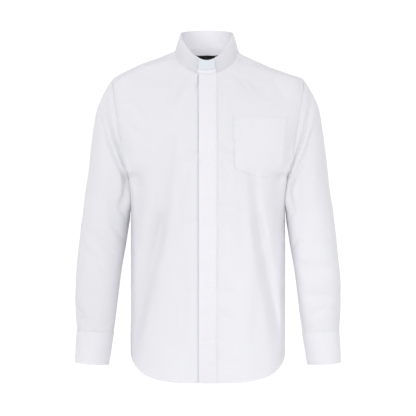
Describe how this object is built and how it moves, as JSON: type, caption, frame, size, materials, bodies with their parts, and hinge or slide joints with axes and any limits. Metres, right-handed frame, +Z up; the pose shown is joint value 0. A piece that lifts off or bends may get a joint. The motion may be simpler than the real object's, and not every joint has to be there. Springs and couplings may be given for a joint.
{
  "type": "clergy shirt",
  "caption": "Long-sleeved clergy shirt with a band collar and tab insert, a covered front opening, a chest pocket and a curved hem, filled out as if worn.",
  "frame": {"origin": "middle of the neck base, level with the sides of the neck, where the wearer's shoulders and neck hold the shirt", "axes": "+X to the wearer's left, -Y out of the front, +Z up"},
  "size_m": [0.6202, 0.2518, 0.8332],
  "materials": {
    "poplin": "white cotton poplin, plain weave, pressed",
    "fused_poplin": "white cotton poplin over a fused lining, smooth and firm",
    "tab": "smooth white plastic sheet",
    "button": "polished white resin",
    "label": "black satin weave"
  },
  "bodies": {
    "root": {"front_left": "poplin", "front_right": "poplin", "fly_placket": "fused_poplin", "fly_button_1": "button", "fly_button_2": "button", "fly_button_3": "button", "fly_button_4": "button", "fly_button_5": "button", "fly_button_6": "button", "back": "poplin", "yoke": "poplin", "neckband": "fused_poplin", "collar_tab": "tab", "neckband_underlap": "fused_poplin", "neck_label": "label", "pocket": "poplin", "sleeve_right": "poplin", "sleeve_placket_right": "fused_poplin", "cuff_right": "fused_poplin", "cuff_button_right": "button", "sleeve_left": "poplin", "sleeve_placket_left": "fused_poplin", "cuff_left": "fused_poplin", "cuff_button_left": "button"}
  },
  "joints": []
}
